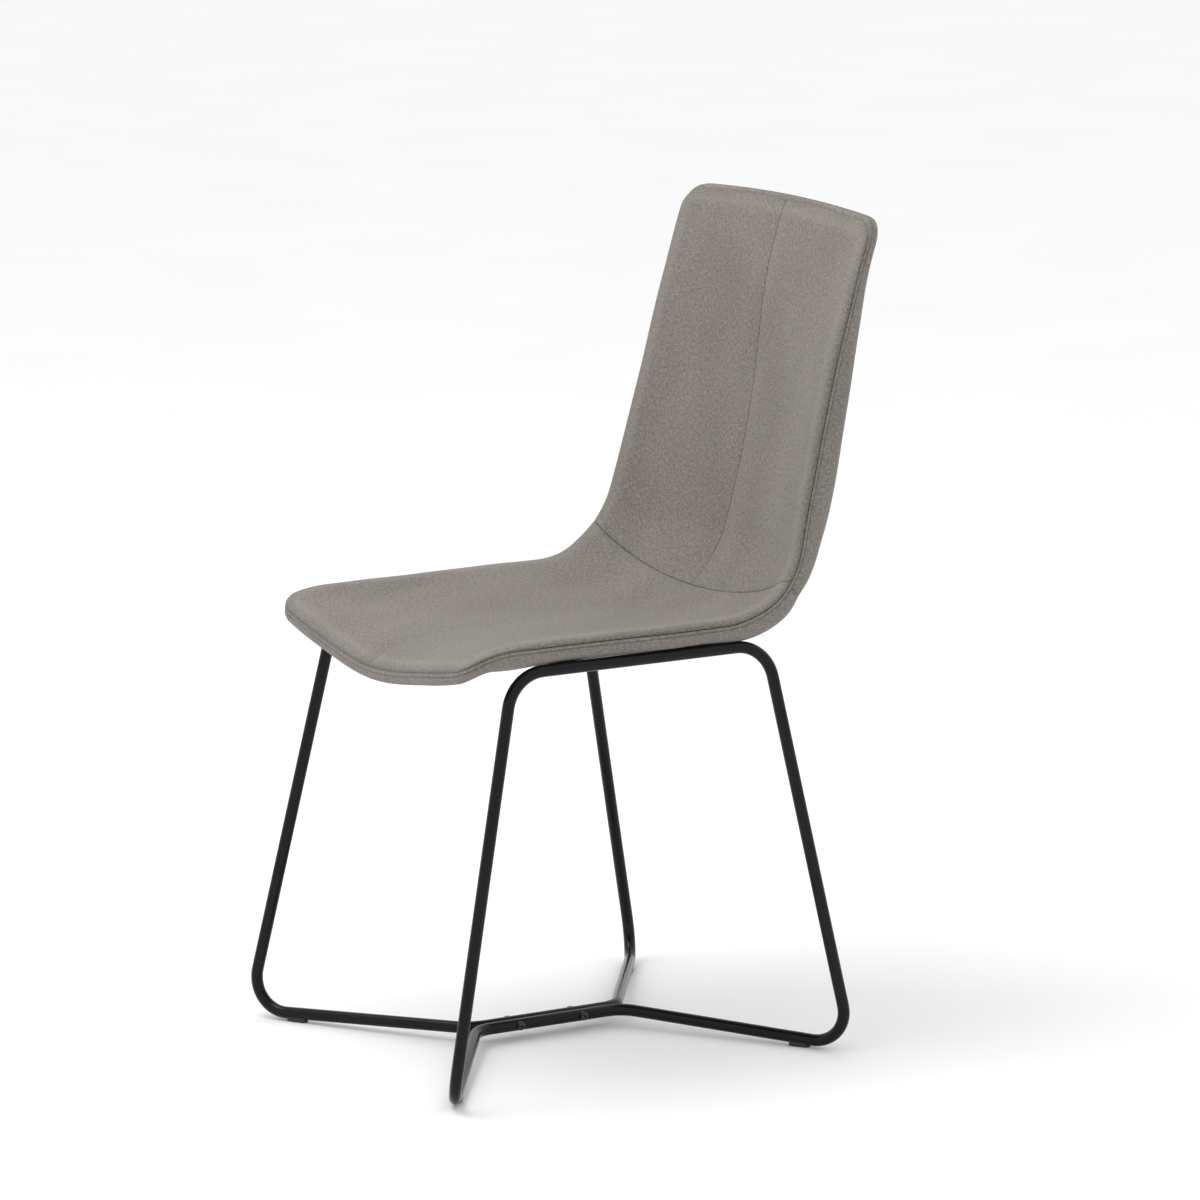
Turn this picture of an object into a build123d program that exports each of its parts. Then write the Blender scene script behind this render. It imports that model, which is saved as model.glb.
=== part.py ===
"""Upholstered dining chair: a dished, moulded shell seat on two looped tube legs.

Millimetres.  +Z is up, the sitter faces -Y and the sitter's left is +X.
The origin is on the floor, in the middle of the chair's bounding box.
"""

import os
from dataclasses import dataclass
from math import atan2, cos, radians, sin, sqrt

from build123d import *

# ---------------------------------------------------------------- driving dimensions

frame_y = -35.0  # middle of the leg frame; fore and aft sizes below start from it

# Tube legs
tube_d = 12.7
tube_wall = 1.2
rail_x = 195.0
rail_z = 438.8
rail_front = -143.0
rail_rear = 154.0
foot_x = 230.0
foot_reach = 237.0
foot_z = 6.65
centre_half = 88.0  # half the length of the low centre section
centre_z = 16.8
centre_gap = 0.1  # air between the two centre sections
rail_bend = 43.0
foot_bend = 37.0
centre_bend = 32.0

# Centre joint
joint_spacing = 76.0
joint_bolt_d = 5.0
joint_hole_d = 5.4
joint_head_d = 8.6
joint_head_h = 2.8
joint_socket = 3.0
saddle_d = 9.4
saddle_h = 1.2  # the saddle washer's thickness at the tube's crown line
nut_across_flats = 8.0
nut_h = 4.0
bolt_end = 1.5  # thread that stands out of the nut

# Side edge of the upholstery, seen from the side
seat_z = 465.8
nose_radius = 140.0
nose_turn = 44.0
flat_front = -132.0
flat_rear = 101.0
bend_radius = 95.0
back_lean = 75.3
back_straight = 188.0
top_radius = 880.0
top_turn = 11.0

# Outline of the upholstered shell
front_reach = 206.0
front_half = 209.5
front_corner = 27.0
top_z = 871.5
top_drop = 6.5  # fall of the top edge from its middle to its corners
top_half = 189.0
top_corner = 26.0
shoulder_z = 745.0  # above this height the back has its top width

# Layers
cover = 1.4
slip = 0.4  # air between neighbouring layers
edge_wrap = 8.0  # wadding round the edge of the shell and the foam
edge_round = 0.42  # lower edge radius, as a share of the edge thickness
welt_width = 5.0
welt_height = 1.0
seam_gap = 0.4
cross_seam = 177.0  # seat cover to back covers, from the middle of the leg frame
rear_seam_turn = 50.0  # rear cover to underside cover, in degrees round the bend

# Fixings between the rails and the shell
fixing_x = 170.0
fixing_reach = 75.0  # fixings in front of and behind the middle of the leg frame
plate_width = 40.0
plate_inner = 19.0  # from the bolt in towards the middle of the chair
plate_outer = 21.5  # from the bolt out to the rail
plate_t = 3.0
plate_air = 0.6  # between a plate and the underside cover
seat_bolt_d = 6.0
seat_bolt_length = 16.0
seat_hole_d = 6.6
seat_head_d = 10.5
seat_head_h = 3.3
seat_socket = 4.0
seat_washer_d = 14.0
seat_washer_h = 1.2
tee_flange_d = 19.0
tee_flange_h = 1.2
tee_barrel_d = 8.0
tee_barrel_h = 7.5
tee_bore_d = 6.1
tee_top = 13.5  # top of the tee nut's flange, above the plate

# Glides
glide_length = 24.0
glide_width = 10.0
glide_from_corner = 60.0
glide_lip = 2.5  # top of the glide, below the tube's centre line

tube_r = tube_d / 2
centre_x = tube_r + centre_gap / 2
across = 600.0  # longer than the chair, for cuts that go right through it
os.makedirs("parts", exist_ok=True)


def save(piece, name):
    """Label a finished piece and write it as its node's file."""
    piece.label = name
    export_step(piece, f"parts/{name}.step")


# ---------------------------------------------------------------- leg loops

centre_mid = Vector(centre_x, frame_y, centre_z)
rail_mid = Vector(rail_x, frame_y, rail_z)
front_foot = Vector(foot_x, frame_y - foot_reach, foot_z)
rear_foot = Vector(foot_x, frame_y + foot_reach, foot_z)
centre_front = Vector(centre_x, frame_y - centre_half, centre_z)
centre_rear = Vector(centre_x, frame_y + centre_half, centre_z)
front_half_loop = [centre_mid, centre_front, front_foot, (rail_x, frame_y + rail_front, rail_z), rail_mid]
rear_half_loop = [centre_mid, centre_rear, rear_foot, (rail_x, frame_y + rail_rear, rail_z), rail_mid]
loop_bends = [centre_bend, foot_bend, rail_bend]
joint_places = [frame_y - joint_spacing / 2, frame_y + joint_spacing / 2]


def bent_rod(radius):
    """A round rod along the whole closed loop of the left leg."""
    with BuildPart() as rod:
        for corners in (front_half_loop, rear_half_loop):
            with BuildLine() as path:
                FilletPolyline(*corners, radius=loop_bends)
            route = path.wire()
            with BuildSketch(Plane(route @ 0, z_dir=route % 0)):
                Circle(radius)
            sweep(path=route)
    return rod.part


def joint_plane(place, out, distance):
    """Plane square to a joint bolt, at a distance from the chair's middle on its +X or -X side."""
    return Plane((out * distance, place, centre_z), x_dir=(0, 1, 0), z_dir=(out, 0, 0))


loop_outside = bent_rod(tube_r)
loop_inside = bent_rod(tube_r - tube_wall)

with BuildPart() as left_leg_loop:
    add(loop_outside)
    add(loop_inside, mode=Mode.SUBTRACT)
    with BuildSketch(*[joint_plane(place, 1, 0) for place in joint_places]):
        Circle(joint_hole_d / 2)
    extrude(amount=2 * tube_d, mode=Mode.SUBTRACT)
save(left_leg_loop.part, "left_leg_loop")

with BuildPart() as right_leg_loop:
    mirror(left_leg_loop.part, about=Plane.YZ)
save(right_leg_loop.part, "right_leg_loop")

# ---------------------------------------------------------------- centre joint

crown_x = centre_x + tube_r  # outermost line of a centre section
saddle_x = crown_x + saddle_h
nut_x = saddle_x + nut_h

with BuildPart() as centre_joint_washers:
    with BuildSketch(*[joint_plane(place, out, centre_x) for place in joint_places for out in (1, -1)]):
        Circle(saddle_d / 2)
        Circle(joint_hole_d / 2, mode=Mode.SUBTRACT)
    extrude(amount=saddle_x - centre_x)
    tube_ends = [Plane((out * centre_x, frame_y, centre_z), z_dir=(0, 1, 0)) for out in (1, -1)]
    with BuildSketch(*tube_ends):
        Circle(tube_r)
    extrude(amount=centre_half, both=True, mode=Mode.SUBTRACT)
save(centre_joint_washers.part, "centre_joint_washers")

with BuildPart() as centre_joint_bolts:
    with BuildSketch(*[joint_plane(place, 1, saddle_x) for place in joint_places]):
        Circle(joint_head_d / 2)
    extrude(amount=joint_head_h)
    fillet(centre_joint_bolts.edges().group_by(Axis.X)[-1], joint_head_h * 0.7)
    with BuildSketch(*[joint_plane(place, 1, saddle_x + joint_head_h) for place in joint_places]):
        RegularPolygon(joint_socket / 2, 6, major_radius=False)
    extrude(amount=-joint_head_h * 0.7, mode=Mode.SUBTRACT)
    with BuildSketch(*[joint_plane(place, -1, -saddle_x) for place in joint_places]):
        Circle(joint_bolt_d / 2)
    extrude(amount=saddle_x + nut_x + bolt_end)
save(centre_joint_bolts.part, "centre_joint_bolts")

with BuildPart() as centre_joint_nuts:
    with BuildSketch(*[joint_plane(place, -1, saddle_x) for place in joint_places]):
        RegularPolygon(nut_across_flats / 2, 6, major_radius=False)
        Circle(joint_bolt_d / 2, mode=Mode.SUBTRACT)
    extrude(amount=nut_h)
save(centre_joint_nuts.part, "centre_joint_nuts")

# ---------------------------------------------------------------- glides

glide_corners = {
    "front_left_glide": (front_foot, centre_front, 1),
    "front_right_glide": (front_foot, centre_front, -1),
    "rear_left_glide": (rear_foot, centre_rear, 1),
    "rear_right_glide": (rear_foot, centre_rear, -1),
}

for glide_name, (foot, centre_corner, side) in glide_corners.items():
    run = (centre_corner - foot).normalized()
    seat_point = foot + run * glide_from_corner
    footprint = Plane((seat_point.X, seat_point.Y, 0), x_dir=(run.X, run.Y, 0), z_dir=(0, 0, 1))
    with BuildPart() as left_glide:
        with BuildSketch(footprint):
            SlotOverall(glide_length, glide_width)
        extrude(amount=seat_point.Z - glide_lip)
        chamfer(left_glide.edges().group_by(Axis.Z)[0], 0.8)
        add(loop_outside, mode=Mode.SUBTRACT)
    with BuildPart() as glide:
        if side > 0:
            add(left_glide.part)
        else:
            mirror(left_glide.part, about=Plane.YZ)
    save(glide.part, glide_name)

# ---------------------------------------------------------------- upholstery sections

with BuildLine(Plane.YZ) as side_edge:
    nose_centre = (frame_y + flat_front, seat_z - nose_radius)
    bend_centre = (frame_y + flat_rear, seat_z + bend_radius)
    CenterArc(nose_centre, nose_radius, 90 + nose_turn, -nose_turn)
    Line((frame_y + flat_front, seat_z), (frame_y + flat_rear, seat_z))
    bend = CenterArc(bend_centre, bend_radius, -90, back_lean)
    straight = PolarLine(bend @ 1, back_straight, back_lean)
    JernArc(straight @ 1, straight % 1, top_radius, -top_turn)
edge_wire = side_edge.wire()


@dataclass
class Section:
    """Cross-section of the upholstery, square to the side edge.

    Thicknesses are given at the edge and in the middle of the section.
    """

    along: float  # length along the side edge, from its front end
    half: float  # half the width
    dish: float  # how far the middle lies behind the edges
    total: tuple
    foam: tuple
    ply: float


nose_end = radians(nose_turn) * nose_radius
flat_end = nose_end + flat_rear - flat_front
bend_end = flat_end + radians(back_lean) * bend_radius
straight_end = bend_end + back_straight
top_end = straight_end + radians(top_turn) * top_radius - 1

sections = [
    Section(0, 209, 20, (10, 11.5), (2, 3), 2.5),
    Section(nose_end / 4, 209, 20.5, (12.5, 15), (2.5, 4.5), 3.5),
    Section(nose_end / 2, 208, 21, (15.5, 20), (2.8, 7.5), 5),
    Section(nose_end * 3 / 4, 205.5, 21.5, (19, 24.5), (3, 10.5), 7),
    Section(nose_end, 202.5, 22, (18.3, 27.8), (3, 13), 9),
    Section(nose_end + 32, 200.5, 22, (17.3, 28), (3, 13), 9),
    Section(nose_end + 105, 201.5, 22, (17.3, 28), (3, 13), 9),
    Section(nose_end + 172, 204.5, 22, (17.3, 28), (3, 13), 9),
    Section(flat_end - 28, 203.5, 22, (17.3, 28), (3, 13), 9),
    Section(flat_end, 202.5, 22, (17.3, 28), (3, 13), 9),
    Section(flat_end + 30, 202.5, 23, (23, 29), (3, 12), 9),
    Section(flat_end + 62, 206, 25, (23.5, 28.5), (4, 11), 9),
    Section(bend_end - 30, 203, 27, (22.5, 28.5), (5.5, 12), 9),
    Section(bend_end, 199, 29, (26, 32.5), (8, 13), 9),
    Section(bend_end + 30, 196, 30, (30.5, 35), (8, 13), 9),
    Section(bend_end + 70, 193.5, 30, (32, 36), (8, 13), 9),
    Section(bend_end + 120, 190.5, 28, (30.5, 34), (8, 13), 9),
    Section(straight_end, 188.5, 21, (27, 29), (8, 11), 9),
    Section(straight_end + 52, 188.5, 13, (21, 23), (5, 8), 9),
    Section(straight_end + 102, 188, 6, (13, 15), (2.5, 4), 6),
    Section(straight_end + 130, 188, 4.5, (9.5, 11), (1.6, 2.4), 4),
    Section(top_end, 188, 3, (6, 7), (0.9, 1.3), 2),
]


def levels(section):
    """Depth of each layer boundary below the front surface, at the edge and in the middle."""
    edge_total, middle_total = section.total
    edge_foam, middle_foam = section.foam
    return {
        "front": (0, 0),
        "cover": (cover, cover),
        "foam": (cover + edge_foam, cover + middle_foam),
        "ply": (cover + edge_foam + section.ply, cover + middle_foam + section.ply),
        "inside": (edge_total - cover, middle_total - cover),
        "outside": (edge_total, middle_total),
    }


def arc_depth(x, half, edge, middle):
    """Depth at x of an arc that is edge deep at both sides and middle deep in the middle."""
    rise = middle - edge
    radius = (half**2 + rise**2) / (2 * rise)
    return middle - radius + sqrt(radius**2 - x**2)


def section_face(section, front, back, inset, corner):
    """Face between two layer boundaries, each a (level name, extra depth) pair."""
    place = edge_wire.position_at(section.along, position_mode=PositionMode.LENGTH)
    along = edge_wire.tangent_at(section.along, position_mode=PositionMode.LENGTH)
    half = section.half - inset
    depths = []
    for name, extra in (front, back):
        edge, middle = levels(section)[name]
        middle += section.dish + extra
        depths.append((arc_depth(half, section.half, edge + extra, middle), middle))
    (front_edge, front_middle), (back_edge, back_middle) = depths
    with BuildSketch(Plane(place, x_dir=(1, 0, 0), z_dir=along)) as face:
        with BuildLine():
            ThreePointArc((-half, front_edge), (0, front_middle), (half, front_edge))
            Line((half, front_edge), (half, back_edge))
            ThreePointArc((half, back_edge), (0, back_middle), (-half, back_edge))
            Line((-half, back_edge), (-half, front_edge))
        make_face()
        if corner:
            lower_corners = face.sketch_local.vertices().sort_by(Axis.Y)[-2:]
            fillet(lower_corners, edge_round * section.total[0] - inset)
    return face.sketch


def outline_block(inset):
    """Everything inside the seat's plan outline and the back's front outline."""
    half = top_half - inset
    with BuildPart() as block:
        with BuildSketch(Plane.XY) as plan:
            with Locations((0, frame_y - front_reach + inset)):
                Rectangle(2 * (front_half - inset), across, align=(Align.CENTER, Align.MIN))
            fillet(plan.vertices().group_by(Axis.Y)[0], front_corner - inset)
        extrude(amount=2 * across)
        with BuildSketch(Plane.XZ) as front:
            Rectangle(across, shoulder_z, align=(Align.CENTER, Align.MIN))
            with BuildLine():
                ThreePointArc(
                    (-half, top_z - top_drop - inset),
                    (0, top_z - inset),
                    (half, top_z - top_drop - inset),
                )
                Polyline(
                    (half, top_z - top_drop - inset),
                    (half, shoulder_z - 1),
                    (-half, shoulder_z - 1),
                    (-half, top_z - top_drop - inset),
                )
            make_face()
            fillet(front.vertices().group_by(Axis.Y)[-1], top_corner - inset)
        extrude(amount=across, both=True, mode=Mode.INTERSECT)
    return block.part


def layer(front, back, inset, corner=False):
    """A closed layer of the upholstery between two boundaries, cut to the outlines."""
    with BuildPart() as body:
        loft([section_face(section, front, back, inset, corner) for section in sections])
        add(outline_block(inset), mode=Mode.INTERSECT)
    return body.part


cross_plane = Plane((0, frame_y + cross_seam, 0), z_dir=(0, 1, 0))
turn = radians(rear_seam_turn)
rear_plane = Plane((0, *bend_centre), z_dir=(0, cos(turn), sin(turn)))


def one_side(body, plane, keep):
    """The part of a layer on one side of a seam, short of it by half the seam's gap."""
    shift = seam_gap / 2 if keep == Keep.TOP else -seam_gap / 2
    with BuildPart() as half:
        add(body)
        split(bisect_by=plane.offset(shift), keep=keep)
    return half.part


# ---------------------------------------------------------------- fixings, shell to rails

flat_section = sections[9]
under_edge, under_middle = levels(flat_section)["outside"]
under_middle += flat_section.dish
under_x = [fixing_x - plate_inner, fixing_x + plate_outer]
under_z = [seat_z - arc_depth(x, flat_section.half, under_edge, under_middle) for x in under_x]
plate_tilt = atan2(under_z[1] - under_z[0], under_x[1] - under_x[0])
plate_z = seat_z - arc_depth(fixing_x, flat_section.half, under_edge, under_middle) - plate_air


def fixing_plane(side, reach, height=0.0):
    """Top face of a mounting plate at its bolt, with +Z up along the bolt."""
    return Plane(
        (side * fixing_x, frame_y + reach, plate_z),
        x_dir=(side * cos(plate_tilt), 0, sin(plate_tilt)),
        z_dir=(-side * sin(plate_tilt), 0, cos(plate_tilt)),
    ).offset(height)


fixing_places = [(side, reach) for side in (1, -1) for reach in (-fixing_reach, fixing_reach)]


def fixing_planes(height):
    """The same height on all four fixings."""
    return [fixing_plane(side, reach, height) for side, reach in fixing_places]


plate_names = {
    "front_left_plate": (1, -fixing_reach),
    "rear_left_plate": (1, fixing_reach),
    "front_right_plate": (-1, -fixing_reach),
    "rear_right_plate": (-1, fixing_reach),
}

for plate_name, (side, reach) in plate_names.items():
    with BuildPart() as plate:
        with BuildSketch(fixing_plane(side, reach)) as outline:
            with Locations(((plate_outer - plate_inner) / 2, 0)):
                Rectangle(plate_inner + plate_outer, plate_width)
            fillet(outline.sketch_local.vertices().group_by(Axis.X)[0], 6)
            Circle(seat_hole_d / 2, mode=Mode.SUBTRACT)
        extrude(amount=-plate_t)
        if side > 0:
            add(loop_outside, mode=Mode.SUBTRACT)
        else:
            mirror(loop_outside, about=Plane.YZ, mode=Mode.SUBTRACT)
    save(plate.part, plate_name)

head_top = -plate_t - seat_washer_h

with BuildPart() as seat_bolt_washers:
    with BuildSketch(*fixing_planes(head_top)):
        Circle(seat_washer_d / 2)
        Circle(seat_hole_d / 2, mode=Mode.SUBTRACT)
    extrude(amount=seat_washer_h)
save(seat_bolt_washers.part, "seat_bolt_washers")

with BuildPart() as seat_bolts:
    with BuildSketch(*fixing_planes(head_top)):
        Circle(seat_head_d / 2)
    extrude(amount=-seat_head_h)
    fillet(seat_bolts.edges().group_by(Axis.Z)[0], seat_head_h * 0.7)
    with BuildSketch(*fixing_planes(head_top - seat_head_h)):
        RegularPolygon(seat_socket / 2, 6, major_radius=False)
    extrude(amount=seat_head_h * 0.7, mode=Mode.SUBTRACT)
    with BuildSketch(*fixing_planes(head_top)):
        Circle(seat_bolt_d / 2)
    extrude(amount=seat_bolt_length)
save(seat_bolts.part, "seat_bolts")

with BuildPart() as tee_nuts:
    with BuildSketch(*fixing_planes(tee_top)):
        Circle(tee_flange_d / 2)
    extrude(amount=-tee_flange_h)
    with BuildSketch(*fixing_planes(tee_top)):
        Circle(tee_barrel_d / 2)
    extrude(amount=-tee_flange_h - tee_barrel_h)
    with BuildSketch(*fixing_planes(tee_top)):
        Circle(tee_bore_d / 2)
    extrude(amount=-across / 10, mode=Mode.SUBTRACT)
save(tee_nuts.part, "tee_nuts")

# ---------------------------------------------------------------- shell, foam and wadding

core_inset = cover + edge_wrap
pocket_air = 0.2

with BuildPart() as plywood_shell:
    add(layer(("foam", slip), ("ply", 0), core_inset))
    with BuildSketch(*fixing_planes(-plate_t)):
        Circle(tee_barrel_d / 2 + pocket_air / 2)
    extrude(amount=2 * tee_top, mode=Mode.SUBTRACT)
    with BuildSketch(*fixing_planes(tee_top - tee_flange_h - pocket_air / 2)):
        Circle(tee_flange_d / 2 + pocket_air)
    extrude(amount=tee_top, mode=Mode.SUBTRACT)
save(plywood_shell.part, "plywood_shell")

with BuildPart() as foam_pad:
    add(layer(("cover", slip), ("foam", 0), core_inset))
    with BuildSketch(*fixing_planes(0)):
        Circle(tee_flange_d / 2 + pocket_air)
    extrude(amount=tee_top + pocket_air, mode=Mode.SUBTRACT)
save(one_side(foam_pad.part, cross_plane, Keep.BOTTOM), "seat_foam")
save(one_side(foam_pad.part, cross_plane, Keep.TOP), "back_foam")

with BuildPart() as rear_wadding:
    add(layer(("cover", slip), ("inside", -slip), cover + slip, corner=True))
    add(layer(("front", -5), ("ply", slip), core_inset - slip), mode=Mode.SUBTRACT)
    with BuildSketch(*fixing_planes(-plate_t)):
        Circle(tee_barrel_d / 2 + pocket_air)
    extrude(amount=tee_top, mode=Mode.SUBTRACT)
save(rear_wadding.part, "rear_wadding")

# ---------------------------------------------------------------- covers and welt

front_cover = layer(("front", 0), ("cover", 0), cover + slip)
back_cover = one_side(front_cover, cross_plane, Keep.TOP)
save(one_side(front_cover, cross_plane, Keep.BOTTOM), "seat_cover_panel")
save(one_side(back_cover, Plane.YZ, Keep.TOP), "back_cover_left")
save(one_side(back_cover, Plane.YZ, Keep.BOTTOM), "back_cover_right")

with BuildPart() as rear_cover:
    add(layer(("front", 0), ("outside", 0), 0, corner=True))
    add(layer(("front", -5), ("inside", 0), cover, corner=True), mode=Mode.SUBTRACT)
    with BuildSketch(*fixing_planes(-plate_t)):
        Circle(seat_hole_d / 2)
    extrude(amount=tee_top, mode=Mode.SUBTRACT)
save(one_side(rear_cover.part, rear_plane, Keep.TOP), "rear_back_cover")
save(one_side(rear_cover.part, rear_plane, Keep.BOTTOM), "underside_cover")

with BuildPart() as perimeter_welt:
    add(layer(("front", -welt_height - slip), ("front", -slip), 0))
    add(layer(("front", -welt_height - 5), ("front", 5), welt_width), mode=Mode.SUBTRACT)
save(perimeter_welt.part, "perimeter_welt")
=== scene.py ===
"""Looks of the upholstered dining chair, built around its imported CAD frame.

Metres, +Z up, the sitter faces -Y.  The upholstery is drawn on the same side edge and
cross-sections as the CAD shell: a point is given by its place along the side edge, its
place across the chair, and its depth below the front surface.
"""

import math

import bpy
import numpy as np
from mathutils import Matrix, Vector


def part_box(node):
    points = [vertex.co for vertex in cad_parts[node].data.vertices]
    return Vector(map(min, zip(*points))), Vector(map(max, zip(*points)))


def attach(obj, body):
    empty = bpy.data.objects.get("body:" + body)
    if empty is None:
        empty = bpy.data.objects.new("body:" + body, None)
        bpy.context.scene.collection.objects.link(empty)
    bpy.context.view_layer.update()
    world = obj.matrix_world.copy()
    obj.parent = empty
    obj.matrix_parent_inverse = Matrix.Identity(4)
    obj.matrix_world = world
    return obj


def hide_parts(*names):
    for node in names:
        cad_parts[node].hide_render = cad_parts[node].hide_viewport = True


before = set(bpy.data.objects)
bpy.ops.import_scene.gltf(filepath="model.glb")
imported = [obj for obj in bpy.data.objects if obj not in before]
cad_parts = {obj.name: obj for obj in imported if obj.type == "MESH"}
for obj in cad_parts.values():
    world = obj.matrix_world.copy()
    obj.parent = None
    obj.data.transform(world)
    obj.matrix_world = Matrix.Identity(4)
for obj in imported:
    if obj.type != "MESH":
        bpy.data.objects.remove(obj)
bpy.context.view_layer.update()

# ---------------------------------------------------------------- driving dimensions

loop_low, loop_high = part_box("left_leg_loop")
FRAME_Y = (loop_low.y + loop_high.y) / 2  # middle of the leg frame

# Side edge of the upholstery, as in the CAD model
SEAT_Z = 0.4658
NOSE_RADIUS = 0.140
NOSE_TURN = math.radians(44)
FLAT_FRONT = FRAME_Y - 0.132
FLAT_REAR = FRAME_Y + 0.101
BEND_RADIUS = 0.095
BACK_LEAN = math.radians(75.3)
BACK_STRAIGHT = 0.188
TOP_RADIUS = 0.880
TOP_TURN = math.radians(11)

NOSE_END = NOSE_RADIUS * NOSE_TURN
FLAT_END = NOSE_END + FLAT_REAR - FLAT_FRONT
BEND_END = FLAT_END + BEND_RADIUS * BACK_LEAN
STRAIGHT_END = BEND_END + BACK_STRAIGHT
EDGE_END = STRAIGHT_END + TOP_RADIUS * TOP_TURN

# Outline
FRONT_Y = FRAME_Y - 0.206
FRONT_BOW = 0.002  # the front edge's fall back from its middle to its corners
FRONT_CORNER = 0.021
TOP_Z = 0.8715
TOP_DROP = 0.0065
TOP_CORNER = 0.026
REACH = 0.2  # half width at which the end lines' curves are given
CROSS_Y = FRAME_Y + 0.177  # seat cover to back covers
REAR_SEAM = FLAT_END + BEND_RADIUS * math.radians(50)  # underside to rear cover

# Along the edge, half width, dish, thickness at the edge and in the middle
STATIONS = np.array([
    (0.000, 0.2090, 0.0200, 0.0110, 0.0125),
    (NOSE_END / 4, 0.2090, 0.0205, 0.0132, 0.0165),
    (NOSE_END / 2, 0.2080, 0.0210, 0.0160, 0.0205),
    (NOSE_END * 3 / 4, 0.2055, 0.0215, 0.0195, 0.0245),
    (NOSE_END, 0.2025, 0.0220, 0.0185, 0.0278),
    (NOSE_END + 0.032, 0.2005, 0.0220, 0.0173, 0.0280),
    (NOSE_END + 0.105, 0.2015, 0.0220, 0.0173, 0.0280),
    (NOSE_END + 0.172, 0.2045, 0.0220, 0.0173, 0.0280),
    (FLAT_END, 0.2025, 0.0220, 0.0180, 0.0280),
    (FLAT_END + 0.030, 0.2025, 0.0230, 0.0230, 0.0290),
    (FLAT_END + 0.062, 0.2060, 0.0250, 0.0245, 0.0290),
    (BEND_END - 0.030, 0.2030, 0.0270, 0.0232, 0.0290),
    (BEND_END, 0.1990, 0.0290, 0.0260, 0.0325),
    (BEND_END + 0.030, 0.1960, 0.0300, 0.0305, 0.0350),
    (BEND_END + 0.070, 0.1935, 0.0300, 0.0320, 0.0360),
    (BEND_END + 0.120, 0.1905, 0.0280, 0.0305, 0.0340),
    (STRAIGHT_END, 0.1885, 0.0210, 0.0270, 0.0290),
    (STRAIGHT_END + 0.052, 0.1885, 0.0130, 0.0210, 0.0230),
    (STRAIGHT_END + 0.102, 0.1880, 0.0060, 0.0126, 0.0150),
    (STRAIGHT_END + 0.130, 0.1880, 0.0045, 0.0092, 0.0110),
    (EDGE_END, 0.1880, 0.0030, 0.0062, 0.0072),
])

# Covers
CELL = 0.006  # size of a cell of a cover's mesh
CORNER_ROWS = 8  # rows of cells over the length of a rounded corner
RIM_HEIGHT = 0.0048  # the padding's roll inside the perimeter seam
RIM_WIDTH = 0.014
SEAM_DROP = 0.0026  # from the side edge down to the perimeter seam
END_SEAM_DROP = 0.0012  # and at the front and top edges
WELT_STRIP = 0.0038  # width of the corded strip between the front and rear covers
WELT_PROUD = 0.0005
WELT_FACE = 0.0032  # height of the welt's forward face at the top of the back
SEAM_DEPTH = 0.0009
SEAM_WIDTH = 0.0008
PANEL_THICKNESS = 0.0012
DART_LENGTH = 0.026  # short seam in from the middle of the front edge
CORNER_LIFT = 0.0055  # the front corners stand above the nose's plain curve
FRONT_LIFT = 0.0010  # and so, a little, does the whole front edge
TOP_FORWARD = 0.0055  # the back's top corners stand forward of its plain curve
REAR_NOTCH = 0.0020  # the rear seam pulls into the padding
NOTCH_WIDTH = 0.009
SEAM_SHADE = 0.0012  # width of the darker line beside a seam
WELT_SIDES = 12  # points round the welt's section

# Mounting plates under the seat, which press the underside cover flat
PLATE_X = 0.1715
PLATE_Y = 0.075
PLATE_HALF = 0.022
PLATE_EASE = 0.025  # the cover is free again this far from a plate

# Padding under the fabric
PUFF_LIMIT = 0.003  # furthest the padding moves the fabric
PUFF_SHARE = 0.3  # part of the cloth simulation's movement that is kept
SETTLE_FRAMES = 20
CLOTH_PRESSURE = 4.0
SEAM_PULL = 0.006  # how far from a seam the padding is drawn in
CREASE_DEPTH = 0.0011  # fold at the front edge's dart
HOLLOW_DEPTH = 0.0036  # pull behind the seat's front corners
SOFT_WAVES = 0.0004  # height of the fabric's slow waves

# ---------------------------------------------------------------- shape of the upholstery


def station(along, column):
    """A value of the cross-sections, eased between the stations."""
    places, values = STATIONS[:, 0], STATIONS[:, column]
    slopes = np.gradient(values, places)
    i = np.clip(np.searchsorted(places, along) - 1, 0, len(places) - 2)
    gap = places[i + 1] - places[i]
    t = np.clip((along - places[i]) / gap, 0, 1)
    return (
        values[i] * (1 + 2 * t) * (1 - t) ** 2
        + slopes[i] * gap * t * (1 - t) ** 2
        + values[i + 1] * t**2 * (3 - 2 * t)
        + slopes[i + 1] * gap * t**2 * (t - 1)
    )


def heading(along):
    """Direction of the side edge above level, in radians."""
    turns = [NOSE_TURN, 0, 0, BACK_LEAN, BACK_LEAN, BACK_LEAN - TOP_TURN]
    return np.interp(along, [0, NOSE_END, FLAT_END, BEND_END, STRAIGHT_END, EDGE_END], turns)


edge_s = np.linspace(-0.03, EDGE_END + 0.03, 8001)
edge_step = edge_s[1] - edge_s[0]
edge_y = np.cumsum(np.cos(heading(edge_s))) * edge_step
edge_z = np.cumsum(np.sin(heading(edge_s))) * edge_step
edge_y += FLAT_FRONT - np.interp(NOSE_END, edge_s, edge_y)
edge_z += SEAT_Z - np.interp(NOSE_END, edge_s, edge_z)


def smooth_step(t):
    """Eases from 0 to 1 as t goes from 0 to 1."""
    t = np.clip(t, 0, 1)
    return t * t * (3 - 2 * t)


def arc(across, half, edge, middle):
    """Depth at a place across of an arc that is edge deep at both sides."""
    rise = middle - edge
    radius = (half**2 + rise**2) / (2 * rise)
    return middle - radius + np.sqrt(np.maximum(radius**2 - across**2, 0))


def corner_forward(along, across):
    """How far the back's top corners stand forward of the plain curve of its side edge."""
    upward = smooth_step((along - STRAIGHT_END - 0.05) / 0.10)
    return TOP_FORWARD * upward * (across / REACH) ** 2


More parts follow.
